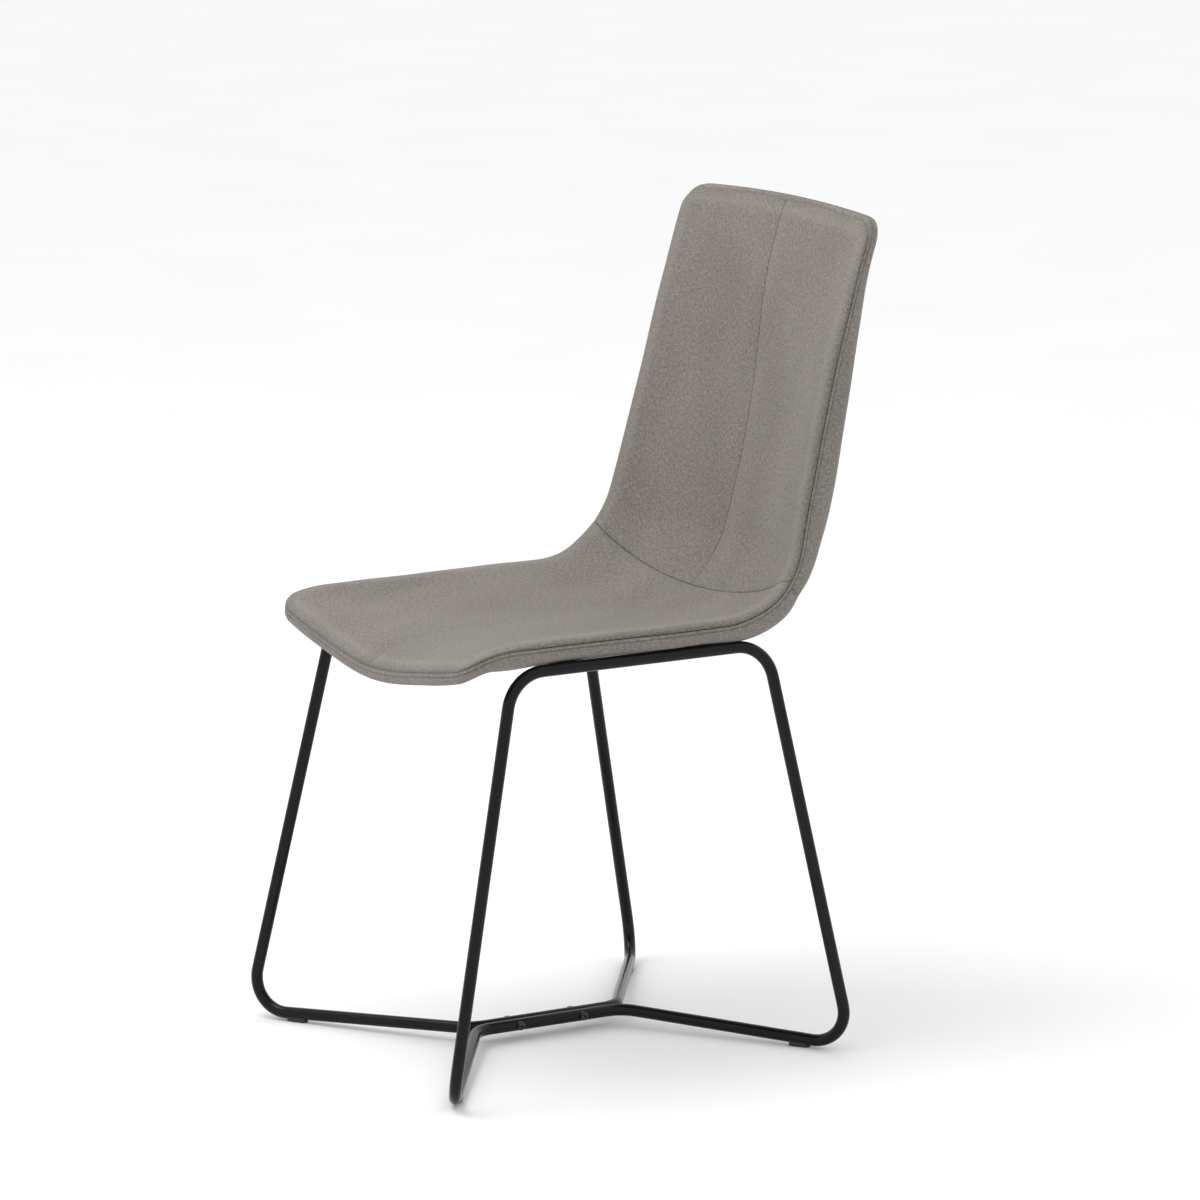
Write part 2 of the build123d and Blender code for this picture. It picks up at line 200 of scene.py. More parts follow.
def front_depth(along, across):
    """Depth of the front surface below the line between its side edges."""
    plain = arc(across, station(along, 1), 0.0, station(along, 2))
    return plain - corner_forward(along, across)


def thickness(along, across):
    """Depth of the rear surface below the front surface."""
    edge, middle = station(along, 3), station(along, 4) + station(along, 2)
    plain = arc(across, station(along, 1), edge, middle) - front_depth(along, across)
    return plain - REAR_NOTCH * np.exp(-(((along - REAR_SEAM) / NOTCH_WIDTH) ** 2))


def corner_lift(along, across):
    """How far the seat's front corners turn up out of the nose's plain curve."""
    outward = smooth_step(np.abs(across) / 0.13)
    forward = 1 - smooth_step((along - 0.030) / (NOSE_END - 0.015))
    return (CORNER_LIFT * outward + FRONT_LIFT) * forward


def top_open(along):
    """From 0 to 1 over the last of the back's height, where the welt faces forward."""
    return smooth_step((along - EDGE_END + 0.040) / 0.035)


def depth_of(below, along, across):
    """A depth below the front surface, given as a length or as a function."""
    return below(along, across) if callable(below) else below


def place(along, across, below):
    """The points at a depth below the front surface."""
    turn = heading(along)
    total = front_depth(along, across) + depth_of(below, along, across)
    y = np.interp(along, edge_s, edge_y) + total * np.sin(turn)
    z = np.interp(along, edge_s, edge_z) - total * np.cos(turn) + corner_lift(along, across)
    return np.stack([across + 0 * along, y, z], axis=-1)


def solve(across, below, axis, level, low, high):
    """Place along the edge, for each place across, where a coordinate reaches its level."""
    low, high = np.full(across.shape, low), np.full(across.shape, high)
    for _ in range(26):
        middle = (low + high) / 2
        short = place(middle, across, below)[..., axis] < level
        low, high = np.where(short, middle, low), np.where(short, high, middle)
    return (low + high) / 2


def front_end(across, below):
    """The front edge: a vertical, slightly bowed face."""
    level = FRONT_Y + FRONT_BOW * (across / REACH) ** 2
    return solve(across, below, 1, level, -0.02, NOSE_END)


def top_end(across, below):
    """The top edge: a level, slightly crowned face."""
    level = TOP_Z - TOP_DROP * (across / REACH) ** 2
    return solve(across, below, 2, level, STRAIGHT_END, EDGE_END + 0.02)


def cross_seam(across):
    """The seam between the seat cover and the back covers."""
    return solve(across, 0.0, 1, CROSS_Y, FLAT_END, BEND_END)


def rear_seam(across):
    """The seam between the underside cover and the rear cover."""
    return np.full(across.shape, REAR_SEAM)


# ---------------------------------------------------------------- lattices and their pieces


def spaced(length, fine_start, fine_end):
    """Places from 0 to 1 over a length, closer together beside a seam."""
    fine = np.cumsum([0.0, 0.0005, 0.0006, 0.0009, 0.0014, 0.0021, 0.0032])
    start = fine if fine_start else fine[:1]
    end = length - (fine if fine_end else fine[:1])[::-1]
    count = max(2, round((end[0] - start[-1]) / CELL))
    middle = np.linspace(start[-1], end[0], count + 1)[1:-1]
    return np.concatenate([start, middle, end]) / length


class Plan:
    """Rows and columns of a cover's mesh, from the front edge to the top edge."""

    def __init__(self, split, seam_in_middle):
        half = spaced(REACH, seam_in_middle, False)
        self.columns = np.concatenate([-half[:0:-1], half])
        self.split = split
        start, end = 0.018, EDGE_END - 0.005
        middle = float(np.mean(split(self.columns * REACH)))
        self.seat = spaced(middle - start - FRONT_CORNER, False, True)
        self.back = spaced(end - middle - TOP_CORNER, True, False)
        self.split_row = CORNER_ROWS + len(self.seat) - 1
        self.rows = self.split_row + len(self.back) + CORNER_ROWS

    def lattice(self, inset=0.0, below=0.0):
        """(along, across) of each vertex, with the outline drawn in by an inset."""
        side_inset = inset if callable(inset) else lambda along: inset
        front_inset, top_inset = float(side_inset(0.03)), float(side_inset(EDGE_END))
        front_r, top_r = FRONT_CORNER - front_inset, TOP_CORNER - top_inset
        quarter = np.arange(CORNER_ROWS) / CORNER_ROWS
        angle = quarter * math.pi / 2
        bulk = np.abs(self.columns) ** 8
        # how far each corner row lies from its end, at the sides and in the middle
        corner = (1 - np.cos(angle))[:, None] * bulk + quarter[:, None] * (1 - bulk)
        edge = np.array([REACH])
        front = front_end(edge, below)[0] + front_inset
        split = self.split(edge)[0]
        top = top_end(edge, below)[0] - top_inset
        side = np.concatenate([
            front + front_r * (1 - np.cos(angle)),
            front + front_r + self.seat * (split - front - front_r),
            split + self.back[1:] * (top - top_r - split),
            top - top_r * (1 - np.cos(angle[::-1])),
        ])
        half = station(side, 1) - np.array([float(side_inset(s)) for s in side])
        half[:CORNER_ROWS] -= front_r * (1 - np.sin(angle))
        half[-CORNER_ROWS:] -= top_r * (1 - np.sin(angle[::-1]))
        across = half[:, None] * self.columns
        front = front_end(across, below) + front_inset
        split = self.split(across)
        top = top_end(across, below) - top_inset
        seat, back = self.seat[:, None], self.back[1:, None]
        a, b = CORNER_ROWS, self.split_row + 1
        c = len(side) - CORNER_ROWS
        along = np.concatenate([
            front[:a] + front_r * corner,
            front[a:b] + front_r + seat * (split[a:b] - front[a:b] - front_r),
            split[b:c] + back * (top[b:c] - top_r - split[b:c]),
            top[c:] - top_r * corner[::-1],
        ])
        return along, across

    def rim(self):
        """Row and column of each vertex round the outline, in order."""
        last_row, last_column = self.rows - 1, len(self.columns) - 1
        front = [(0, i) for i in range(last_column)]
        left = [(j, last_column) for j in range(last_row)]
        top = [(last_row, i) for i in range(last_column, 0, -1)]
        right = [(j, 0) for j in range(last_row, 0, -1)]
        return np.array(front + left + top + right)


class Cover:
    """A front or rear skin: rings in from the perimeter, then a lattice."""

    def __init__(self, plan, rings):
        self.plan = plan
        self.rim = plan.rim()
        rows, columns = self.rim.T
        layers = [plan.lattice(inset, below) + (below,) for inset, below in rings]
        points, marks = [], []
        for along, across, below in layers[:-1]:
            points.append(place(along[rows, columns], across[rows, columns], below))
            marks.append(np.stack([across[rows, columns], along[rows, columns]], axis=1))
        along, across, below = layers[-1]
        lattice = place(along, across, below)
        points.append(lattice.reshape(-1, 3))
        marks.append(np.stack([across.ravel(), along.ravel()], axis=1))
        self.points = np.concatenate(points)
        self.marks = np.concatenate(marks)
        self.ring_count = len(layers) - 1
        self.size = across.shape
        self.cloth = self.laid_flat(points, lattice[rows, columns], across[rows, columns],
                                    along[rows, columns])

    def laid_flat(self, points, inner, across, along):
        """Cloth coordinates: each ring is unrolled outwards from the lattice's outline."""
        outline = np.stack([across, along], axis=1)
        step = np.roll(outline, -2, axis=0) - np.roll(outline, 2, axis=0)
        outward = np.stack([step[:, 1], -step[:, 0]], axis=1)
        outward /= np.linalg.norm(outward, axis=1)[:, None]
        flat, distance = [self.marks[-self.size[0] * self.size[1]:]], np.zeros(len(outline))
        for ring in points[-2::-1]:
            distance = distance + np.linalg.norm(ring - inner, axis=1)
            flat.insert(0, outline + outward * distance[:, None])
            inner = ring
        return np.concatenate(flat)

    def ring_index(self, ring, k):
        """Vertex k of a ring; the last ring is the lattice's own outline."""
        k = k % len(self.rim)
        if ring < self.ring_count:
            return ring * len(self.rim) + k
        row, column = self.rim[k]
        return self.ring_count * len(self.rim) + row * self.size[1] + column

    def faces(self, keep):
        """Faces whose middle (row, column) passes the test."""
        made = []
        for k, (row, column) in enumerate(self.rim):
            after = self.rim[(k + 1) % len(self.rim)]
            if keep((row + after[0]) / 2, (column + after[1]) / 2):
                for ring in range(self.ring_count):
                    made.append((
                        self.ring_index(ring, k), self.ring_index(ring, k + 1),
                        self.ring_index(ring + 1, k + 1), self.ring_index(ring + 1, k),
                    ))
        base = self.ring_count * len(self.rim)
        for row in range(self.size[0] - 1):
            for column in range(self.size[1] - 1):
                if keep(row + 0.5, column + 0.5):
                    a = base + row * self.size[1] + column
                    made.append((a, a + 1, a + 1 + self.size[1], a + self.size[1]))
        return made


def add_mesh(name, points, faces, marks=None, rub_highlight_and_shade=None):
    """A smooth-shaded mesh object, with the cloth's own flat coordinates."""
    used = np.unique(np.array(faces).ravel())
    new_index = np.zeros(len(points), int)
    new_index[used] = np.arange(len(used))
    mesh = bpy.data.meshes.new(name)
    corners = [tuple(new_index[list(face)]) for face in faces]
    mesh.from_pydata(np.asarray(points)[used].tolist(), [], corners)
    mesh.update()
    mesh.polygons.foreach_set("use_smooth", [True] * len(mesh.polygons))
    loops = np.zeros(len(mesh.loops), int)
    mesh.loops.foreach_get("vertex_index", loops)
    if marks is not None:
        cloth = mesh.uv_layers.new(name="cloth")
        cloth.data.foreach_set("uv", np.asarray(marks)[used][loops].ravel())
    # per-vertex painted highlight (with a little edge rub) and painted shade for the fabric
    if rub_highlight_and_shade is not None:
        layer = mesh.attributes.new("rub_highlight_and_shade", "FLOAT", "POINT")
        layer.data.foreach_set("value", np.asarray(rub_highlight_and_shade)[used].astype(np.float32))
    piece = bpy.data.objects.new(name, mesh)
    bpy.context.scene.collection.objects.link(piece)
    return piece


def dress(piece, material, slot_name, *nodes):
    """Gives a piece its material, and says what it rides on and stands for."""
    piece.data.materials.clear()
    piece.data.materials.append(material)
    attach(piece, "root")
    if nodes:
        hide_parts(*nodes)
    return piece


def add_panel(name, points, faces, marks, rub_highlight_and_shade, outside):
    """A cover panel with real thickness, rounded by one subdivision."""
    piece = add_mesh(name, points, faces, marks, rub_highlight_and_shade)
    solidify = piece.modifiers.new("thickness", "SOLIDIFY")
    solidify.thickness = PANEL_THICKNESS
    solidify.offset = outside
    rounded = piece.modifiers.new("rounding", "SUBSURF")
    rounded.levels = rounded.render_levels = 1
    return piece


# ---------------------------------------------------------------- materials


class Nodes:
    """Shorthand for a material's node tree."""

    def __init__(self, name):
        self.material = bpy.data.materials.new(name)
        self.material.use_nodes = True
        self.tree = self.material.node_tree
        self.shader = self.tree.nodes["Principled BSDF"]

    def add(self, kind, **settings):
        node = self.tree.nodes.new("ShaderNode" + kind)
        for key, value in settings.items():
            setattr(node, key, value)
        return node

    def link(self, source, target):
        self.tree.links.new(source, target)

    def feed(self, socket, value):
        if isinstance(value, bpy.types.NodeSocket):
            self.link(value, socket)
        else:
            socket.default_value = value

    def math(self, operation, a, b=0.0):
        node = self.add("Math", operation=operation)
        self.feed(node.inputs[0], a)
        self.feed(node.inputs[1], b)
        return node.outputs[0]

    def noise(self, vector, scale, detail=2.0, roughness=0.5):
        node = self.add("TexNoise")
        self.link(vector, node.inputs["Vector"])
        node.inputs["Scale"].default_value = scale
        node.inputs["Detail"].default_value = detail
        node.inputs["Roughness"].default_value = roughness
        return node.outputs["Fac"]

    def stretched(self, vector, scale):
        node = self.add("Mapping")
        self.link(vector, node.inputs["Vector"])
        node.inputs["Scale"].default_value = scale
        return node.outputs["Vector"]

    def ramp(self, value, *stops):
        node = self.add("ValToRGB")
        self.link(value, node.inputs["Fac"])
        while len(node.color_ramp.elements) < len(stops):
            node.color_ramp.elements.new(0.5)
        for element, (position, colour) in zip(node.color_ramp.elements, stops):
            element.position = position
            element.color = (*colour, 1)
        return node.outputs["Color"]

    def mix(self, factor, a, b):
        node = self.add("Mix", data_type="RGBA")
        self.feed(node.inputs["Factor"], factor)
        self.feed(node.inputs["A"], a)
        self.feed(node.inputs["B"], b)
        return node.outputs["Result"]

    def bump(self, height, distance, strength):
        node = self.add("Bump")
        self.feed(node.inputs["Height"], height)
        node.inputs["Distance"].default_value = distance
        node.inputs["Strength"].default_value = strength
        return node.outputs["Normal"]

    def finish(self, **sockets):
        for name, value in sockets.items():
            self.feed(self.shader.inputs[name.replace("_", " ")], value)
        return self.material


def woven_fabric(name, dark, middle, light, yarn=0.00085):
    """Melange plain weave: mixed yarns with slubs along the warp, seen up close as threads."""
    n = Nodes(name)
    cloth = n.add("UVMap", uv_map="cloth").outputs["UV"]
    split = n.add("SeparateXYZ")
    n.link(cloth, split.inputs[0])
    warp_phase = n.math("MULTIPLY", split.outputs["X"], math.pi / yarn)
    weft_phase = n.math("MULTIPLY", split.outputs["Y"], math.pi / yarn)
    weave = n.math("MULTIPLY", n.math("SINE", warp_phase), n.math("SINE", weft_phase))
    warp_yarns = n.noise(n.stretched(cloth, (1, 0.16, 1)), 1100, 2)
    weft_yarns = n.noise(n.stretched(cloth, (0.2, 1, 1)), 900, 2)
    over = n.math("GREATER_THAN", weave, 0.0)
    yarns = n.add("Mix", data_type="FLOAT")
    n.feed(yarns.inputs["Factor"], over)
    n.feed(yarns.inputs["A"], warp_yarns)
    n.feed(yarns.inputs["B"], weft_yarns)
    speckle = n.noise(n.stretched(cloth, (1, 0.45, 1)), 640, 3, 0.6)
    patches = n.noise(n.stretched(cloth, (1, 0.45, 1)), 14, 3)
    tone = n.math("MULTIPLY", yarns.outputs["Result"], 0.5)
    tone = n.math("ADD", tone, n.math("MULTIPLY", speckle, 0.38))
    tone = n.math("ADD", tone, n.math("MULTIPLY", patches, 0.12))
    colour = n.ramp(tone, (0.36, dark), (0.5, middle), (0.64, light))
    blush = n.math("MULTIPLY", n.noise(n.stretched(cloth, (1, 0.4, 1)), 34, 2), 0.16)
    colour = n.mix(blush, colour, (middle[0] * 1.12, middle[1] * 0.92, middle[2] * 0.94, 1))
    # Painted light: above 0 the attribute lightens the cloth as a painted highlight on the padding's
    # roll, with a little edge rub; below 0 it darkens the cloth as painted shade in the seam grooves
    rub_highlight_and_shade = n.add("Attribute", attribute_name="rub_highlight_and_shade").outputs["Fac"]
    rub_and_highlight = n.math("MULTIPLY", n.math("MAXIMUM", rub_highlight_and_shade, 0.0), 0.18)
    colour = n.mix(rub_and_highlight, colour, (*light, 1))
    painted_shade = n.math("MULTIPLY", n.math("MAXIMUM", n.math("MULTIPLY", rub_highlight_and_shade, -1.0), 0.0), 0.45)
    colour = n.mix(painted_shade, colour, (*[0.45 * c for c in dark], 1))
    fibres = n.noise(cloth, 5200, 2)
    height = n.math("ADD", n.math("ABSOLUTE", weave), n.math("MULTIPLY", fibres, 0.5))
    height = n.math("ADD", height, n.math("MULTIPLY", speckle, 0.12))
    roughness = n.math("MULTIPLY_ADD", speckle, 0.12)
    roughness.node.inputs[2].default_value = 0.84
    return n.finish(
        Base_Color=colour, Roughness=roughness, Normal=n.bump(height, 0.00014, 0.7),
        Sheen_Weight=0.22, Sheen_Roughness=0.45, Sheen_Tint=(0.95, 0.92, 0.88, 1),
        Specular_IOR_Level=0.2,
    )


def powder_coat(name):
    """Black satin powder coat: fine orange peel, slight gloss changes and rubbed marks."""
    n = Nodes(name)
    spot = n.add("TexCoord").outputs["Object"]
    peel = n.noise(spot, 900, 2)
    cloudy = n.noise(spot, 30, 3)
    colour = n.ramp(cloudy, (0.3, (0.0030, 0.0032, 0.0030)), (0.7, (0.0050, 0.0053, 0.0050)))
    roughness = n.ramp(cloudy, (0.3, (0.15,) * 3), (0.7, (0.21,) * 3))
    return n.finish(
        Base_Color=colour, Roughness=roughness, Normal=n.bump(peel, 0.00003, 0.6),
        Specular_IOR_Level=0.2,
    )


def steel(name, dark, light, rough):
    """Plated fastener steel, brushed by its tooling, with duller patches."""
    n = Nodes(name)
    spot = n.add("TexCoord").outputs["Object"]
    grain = n.noise(n.stretched(spot, (1, 1, 6)), 1600, 2)
    patches = n.noise(spot, 220, 3)
    colour = n.ramp(patches, (0.35, dark), (0.65, light))
    roughness = n.ramp(patches, (0.3, (rough,) * 3), (0.7, (rough + 0.14,) * 3))
    return n.finish(
        Base_Color=colour, Roughness=roughness, Metallic=1.0, Normal=n.bump(grain, 0.00002, 0.5),
    )


def moulded_plastic(name):
    """Black nylon with a fine spark texture, scuffed lighter in patches."""
    n = Nodes(name)
    spot = n.add("TexCoord").outputs["Object"]
    texture = n.noise(spot, 2600, 2)
    scuffs = n.noise(n.stretched(spot, (1, 1, 4)), 180, 4, 0.7)
    colour = n.ramp(scuffs, (0.5, (0.010, 0.010, 0.011)), (0.75, (0.045, 0.044, 0.043)))
    roughness = n.ramp(scuffs, (0.4, (0.45,) * 3), (0.8, (0.7,) * 3))
    return n.finish(Base_Color=colour, Roughness=roughness, Normal=n.bump(texture, 0.00005, 0.6))


def birch_plywood(name):
    """Moulded birch plywood: fine grain along the shell and glued veneers at its edges."""
    n = Nodes(name)
    spot = n.add("TexCoord").outputs["Object"]
    grain = n.noise(n.stretched(spot, (1, 0.06, 0.06)), 420, 4, 0.6)
    figure = n.noise(n.stretched(spot, (1, 0.2, 0.2)), 40, 3)
    tone = n.math("ADD", n.math("MULTIPLY", grain, 0.6), n.math("MULTIPLY", figure, 0.4))
    colour = n.ramp(tone, (0.35, (0.42, 0.27, 0.15)), (0.65, (0.68, 0.50, 0.32)))
    roughness = n.ramp(grain, (0.3, (0.5,) * 3), (0.7, (0.68,) * 3))
    return n.finish(Base_Color=colour, Roughness=roughness, Normal=n.bump(grain, 0.0001, 0.4))


GREIGE = ((0.090, 0.082, 0.071), (0.192, 0.177, 0.158), (0.328, 0.306, 0.280))
cover_fabric = woven_fabric("cover_fabric", *GREIGE)
welt_fabric = woven_fabric("welt_fabric", *GREIGE, yarn=0.0007)
tube_paint = powder_coat("tube_paint")
fixing_steel = steel("fixing_steel", (0.035, 0.036, 0.038), (0.075, 0.076, 0.080), 0.34)
tee_nut_steel = steel("tee_nut_steel", (0.42, 0.43, 0.44), (0.60, 0.61, 0.62), 0.28)
glide_plastic = moulded_plastic("glide_plastic")
plywood = birch_plywood("plywood")

# ---------------------------------------------------------------- frame materials

FRAME_FINISHES = {
    tube_paint: ["left_leg_loop", "right_leg_loop", "front_left_plate", "front_right_plate",
                 "rear_left_plate", "rear_right_plate"],
    fixing_steel: ["centre_joint_bolts", "centre_joint_washers", "centre_joint_nuts",
                   "seat_bolts", "seat_bolt_washers"],
    tee_nut_steel: ["tee_nuts"],
    glide_plastic: ["front_left_glide", "front_right_glide", "rear_left_glide", "rear_right_glide"],
    plywood: ["plywood_shell"],
}
for finish, names in FRAME_FINISHES.items():
    for name in names:
        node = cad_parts[name]
        node.data.materials.clear()
        node.data.materials.append(finish)

# ---------------------------------------------------------------- front covers

front_plan = Plan(cross_seam, seam_in_middle=True)


def seam_drop(along, across):
    """Depth of the perimeter seam below the front surface."""
    between_ends = smooth_step((along - 0.02) / 0.05)
    between_ends = between_ends * (1 - smooth_step((along - STRAIGHT_END) / 0.12))
    drop = END_SEAM_DROP + (SEAM_DROP - END_SEAM_DROP) * between_ends
    return (drop + 0.0004 * top_open(along)) * np.ones_like(across)


def strip_end(along, across):
    """Depth at which the welt strip ends and the side wall begins."""
    drop = seam_drop(along, across)
    return drop + np.minimum(WELT_STRIP, 0.45 * (thickness(along, across) - drop))


def rolled(angle):
    """A ring on the quarter round from the perimeter seam over to the front surface."""
    turn = math.radians(angle)

    def inset(along):
        return held_back(0.0)(along) + seam_drop(along, 0.0) * (1 - math.cos(turn))

    def below(along, across):
        return seam_drop(along, across) * (1 - math.sin(turn))

    return inset, below


def held_back(inset):
    """An inset that grows by the welt's forward face towards the top of the back."""
    return lambda along: inset + WELT_FACE * top_open(along)


front_rings = [
    (held_back(0.0030), lambda s, x: seam_drop(s, x) + 0.0009),
    (held_back(0.0005), lambda s, x: seam_drop(s, x) + 0.0001),
    rolled(8), rolled(30), rolled(55), rolled(90),
    (held_back(0.0044), 0.0), (held_back(0.0070), 0.0), (held_back(0.0105), 0.0),
]
front_cover = Cover(front_plan, front_rings)


def from_outline(marks):
    """Distance of each cloth point in from the outline, round its corners too."""
    across, along = marks.T
    side = station(along, 1) - np.abs(across)
    front = along - front_end(across, 0.0)
    top = top_end(across, 0.0) - along
    distance = np.minimum(np.minimum(side, front), top)
    for radius, end in ((FRONT_CORNER, front), (TOP_CORNER, top)):
        in_corner = (side < radius) & (end < radius)
        rounded = radius - np.hypot(radius - side, radius - end)
        distance = np.where(in_corner, rounded, distance)
    return distance


def from_seam(marks):
    """Distance of each cloth point in from the perimeter seam."""
    return from_outline(marks) - WELT_FACE * top_open(marks[:, 1])


def soft_noise(marks, scale, seed):
    """Slow, smooth, repeatable waviness of about -1 to 1."""
    made = np.random.default_rng(seed)
    total = np.zeros(len(marks))
    for _ in range(7):
        turn, phase = made.uniform(0, 2 * math.pi, 2)
        wave = scale * made.uniform(0.6, 1.6)
        distance = marks[:, 0] * math.cos(turn) + marks[:, 1] * math.sin(turn)
        total += np.sin(distance / wave + phase)
    return total / 3.5


def lift(points, marks, height):
    """Moves points out of the front surface by a height."""
    turn = heading(marks[:, 1])
    up = np.stack([np.zeros_like(turn), -np.sin(turn), np.cos(turn)], axis=1)
    return points + up * height[:, None]


def front_relief(marks):
    """Height of the padding and the seams over the plain front surface."""
    across, along = marks.T
    inner = np.maximum(from_seam(marks), 0)
    rim = RIM_HEIGHT * inner / RIM_WIDTH * np.exp(1 - inner / RIM_WIDTH)
    top_fade = 1 - 0.55 * smooth_step((along - STRAIGHT_END) / 0.15)
    nose_fade = 0.45 + 0.55 * smooth_step((along - 0.035) / 0.06)
    to_cross = np.abs(along - cross_seam(across))
    on_back = along > cross_seam(across)
    to_middle = np.abs(across)
    seams = SEAM_DEPTH * np.exp(-to_cross / SEAM_WIDTH) + 0.0007 * np.exp(-to_cross / SEAM_PULL)
    middle = SEAM_DEPTH * np.exp(-to_middle / SEAM_WIDTH) + 0.0005 * np.exp(-to_middle / 0.007)
    seams = np.maximum(seams, np.where(on_back, middle, 0))
    into_dart = along - front_end(across, 0.0)
    dart = middle * (1 - smooth_step((into_dart - DART_LENGTH + 0.006) / 0.006))
    crease = CREASE_DEPTH * np.exp(-((to_middle / 0.010) ** 2)) * np.exp(-into_dart / 0.09)
    hollow = HOLLOW_DEPTH * np.exp(-(((along - 0.085) / 0.022) ** 2))
    hollow = hollow * np.exp(-(((inner - 0.006) / 0.006) ** 2))
    seams += np.where(on_back, 0, dart + crease + hollow)
    ease = np.minimum(inner / 0.004, 1)
    level = smooth_step((along - 0.06) / 0.05) * (1 - smooth_step((along - FLAT_END) / 0.06))
    rim *= top_fade * nose_fade * (1 + 0.28 * level)
    return rim - ease * seams + ease * SOFT_WAVES * soft_noise(marks, 0.018, 3)


def puffed(points, cover, held_row, held_column, fill, free):
    """The points of a cover, moved as cloth held at its seams moves over its padding."""
    rows, columns = cover.size
    base = len(points) - rows * columns
    sheet = points[base:]
    faces = [
        (r * columns + c, r * columns + c + 1, (r + 1) * columns + c + 1, (r + 1) * columns + c)
        for r in range(rows - 1) for c in range(columns - 1)
    ]
    held = np.zeros((rows, columns), bool)
    held[[0, -1, held_row], :] = True
    held[:, [0, -1]] = True
    if held_column is not None:
        held[held_row:, held_column] = True
    trial = add_mesh("trial", sheet, faces)
    pins = trial.vertex_groups.new(name="held")
    pins.add(np.nonzero(held.ravel())[0].tolist(), 1.0, "REPLACE")
    cloth = trial.modifiers.new("cloth", "CLOTH")
    settings = cloth.settings
    settings.quality = 4
    settings.mass = 0.3
    settings.tension_stiffness = 15
    settings.compression_stiffness = 15
    settings.shear_stiffness = 8
    settings.bending_stiffness = 0.5
    settings.use_pressure = True
    settings.uniform_pressure_force = fill
    settings.shrink_min = -0.002
    settings.vertex_group_mass = "held"
    settings.effector_weights.gravity = 0
    cloth.point_cache.frame_start = 1
    cloth.point_cache.frame_end = SETTLE_FRAMES
    scene = bpy.context.scene
    for number in range(1, SETTLE_FRAMES + 1):
        scene.frame_set(number)
    settled = trial.evaluated_get(bpy.context.evaluated_depsgraph_get())
    moved = np.zeros(len(sheet) * 3)
    settled.to_mesh().vertices.foreach_get("co", moved)
    settled.to_mesh_clear()
    normals = np.zeros(len(sheet) * 3)
    trial.data.vertices.foreach_get("normal", normals)
    normals = normals.reshape(-1, 3)
    scene.frame_set(1)
    bpy.data.objects.remove(trial)
    shift = ((moved.reshape(-1, 3) - sheet) * normals).sum(axis=1)
    shift = PUFF_LIMIT * np.tanh(shift / PUFF_LIMIT * PUFF_SHARE) * free[base:]
    return np.concatenate([points[:base], sheet + normals * shift[:, None]])


relief = front_relief(front_cover.marks)
front_points = lift(front_cover.points, front_cover.marks, relief)
middle_seam = (len(front_plan.columns) - 1) // 2
everywhere = np.ones(len(front_points))
front_points = puffed(
    front_points, front_cover, front_plan.split_row, middle_seam, CLOTH_PRESSURE, everywhere)
seam_distance = from_seam(front_cover.marks)
to_cross_seam = np.abs(front_cover.marks[:, 1] - cross_seam(front_cover.marks[:, 0]))
# Painted light on the front covers: painted shade along the cross seam and right at the perimeter
# seam, and a painted highlight, with a little edge rub, along the crest of the padding's roll
seam_shade = -0.3 * np.exp(-to_cross_seam / SEAM_SHADE)
rim_highlight_and_seam_shade = 1.3 * np.exp(-(((seam_distance - RIM_WIDTH) / 0.006) ** 2))
rim_highlight_and_seam_shade -= np.exp(-np.maximum(seam_distance, 0) / SEAM_SHADE)
front_highlight_and_shade = rim_highlight_and_seam_shade + seam_shade

split_row = front_plan.split_row
middle_column = (len(front_plan.columns) - 1) / 2
front_panels = {
    "seat_cover": (lambda row, column: row < split_row, ("seat_cover_panel", "seat_foam")),
    "back_cover_panel_left": (
        lambda row, column: row > split_row and column > middle_column,
        ("back_cover_left", "back_foam"),
    ),
    "back_cover_panel_right": (
        lambda row, column: row > split_row and column < middle_column,
        ("back_cover_right",),
    ),
}
for name, (keep, nodes) in front_panels.items():
    panel = add_panel(name, front_points, front_cover.faces(keep), front_cover.cloth, front_highlight_and_shade, -1)
    dress(panel, cover_fabric, "cover_fabric", *nodes)

# ---------------------------------------------------------------- rear covers


def corner_radius(along):
    """Radius of the rounding between the side wall and the rear surface."""
    return 0.42 * station(along, 3)


def wall_ring(share):
    """A ring on the side wall, bulging a little between the welt and the lower edge."""
    bulge = 0.0007 * math.sin(share * math.pi * 0.8)

    def below(along, across):
        total, start = thickness(along, across), strip_end(along, across) + 0.0005
        wall = np.maximum(total - start - corner_radius(along), 0.05 * total)
        return start + share * wall

    return (lambda along: -bulge), below


def corner_ring(angle):
    """A ring on the rounding from the side wall to the rear surface."""
    turn = math.radians(angle)

    def inset(along):
        return corner_radius(along) * (1 - math.cos(turn))

    def below(along, across):
        return thickness(along, across) - corner_radius(along) * (1 - math.sin(turn))

    return inset, below


def clear_of_plates(marks):
    """0 where the underside meets a mounting plate, rising to 1 away from the plates."""
    across, along = marks.T
    forward = along - NOSE_END + FLAT_FRONT - FRAME_Y
    beside = np.maximum(np.abs(np.abs(across) - PLATE_X) - PLATE_HALF, 0)
    before = np.maximum(np.abs(np.abs(forward) - PLATE_Y) - PLATE_HALF, 0)
    return smooth_step(np.hypot(beside, before) / PLATE_EASE)


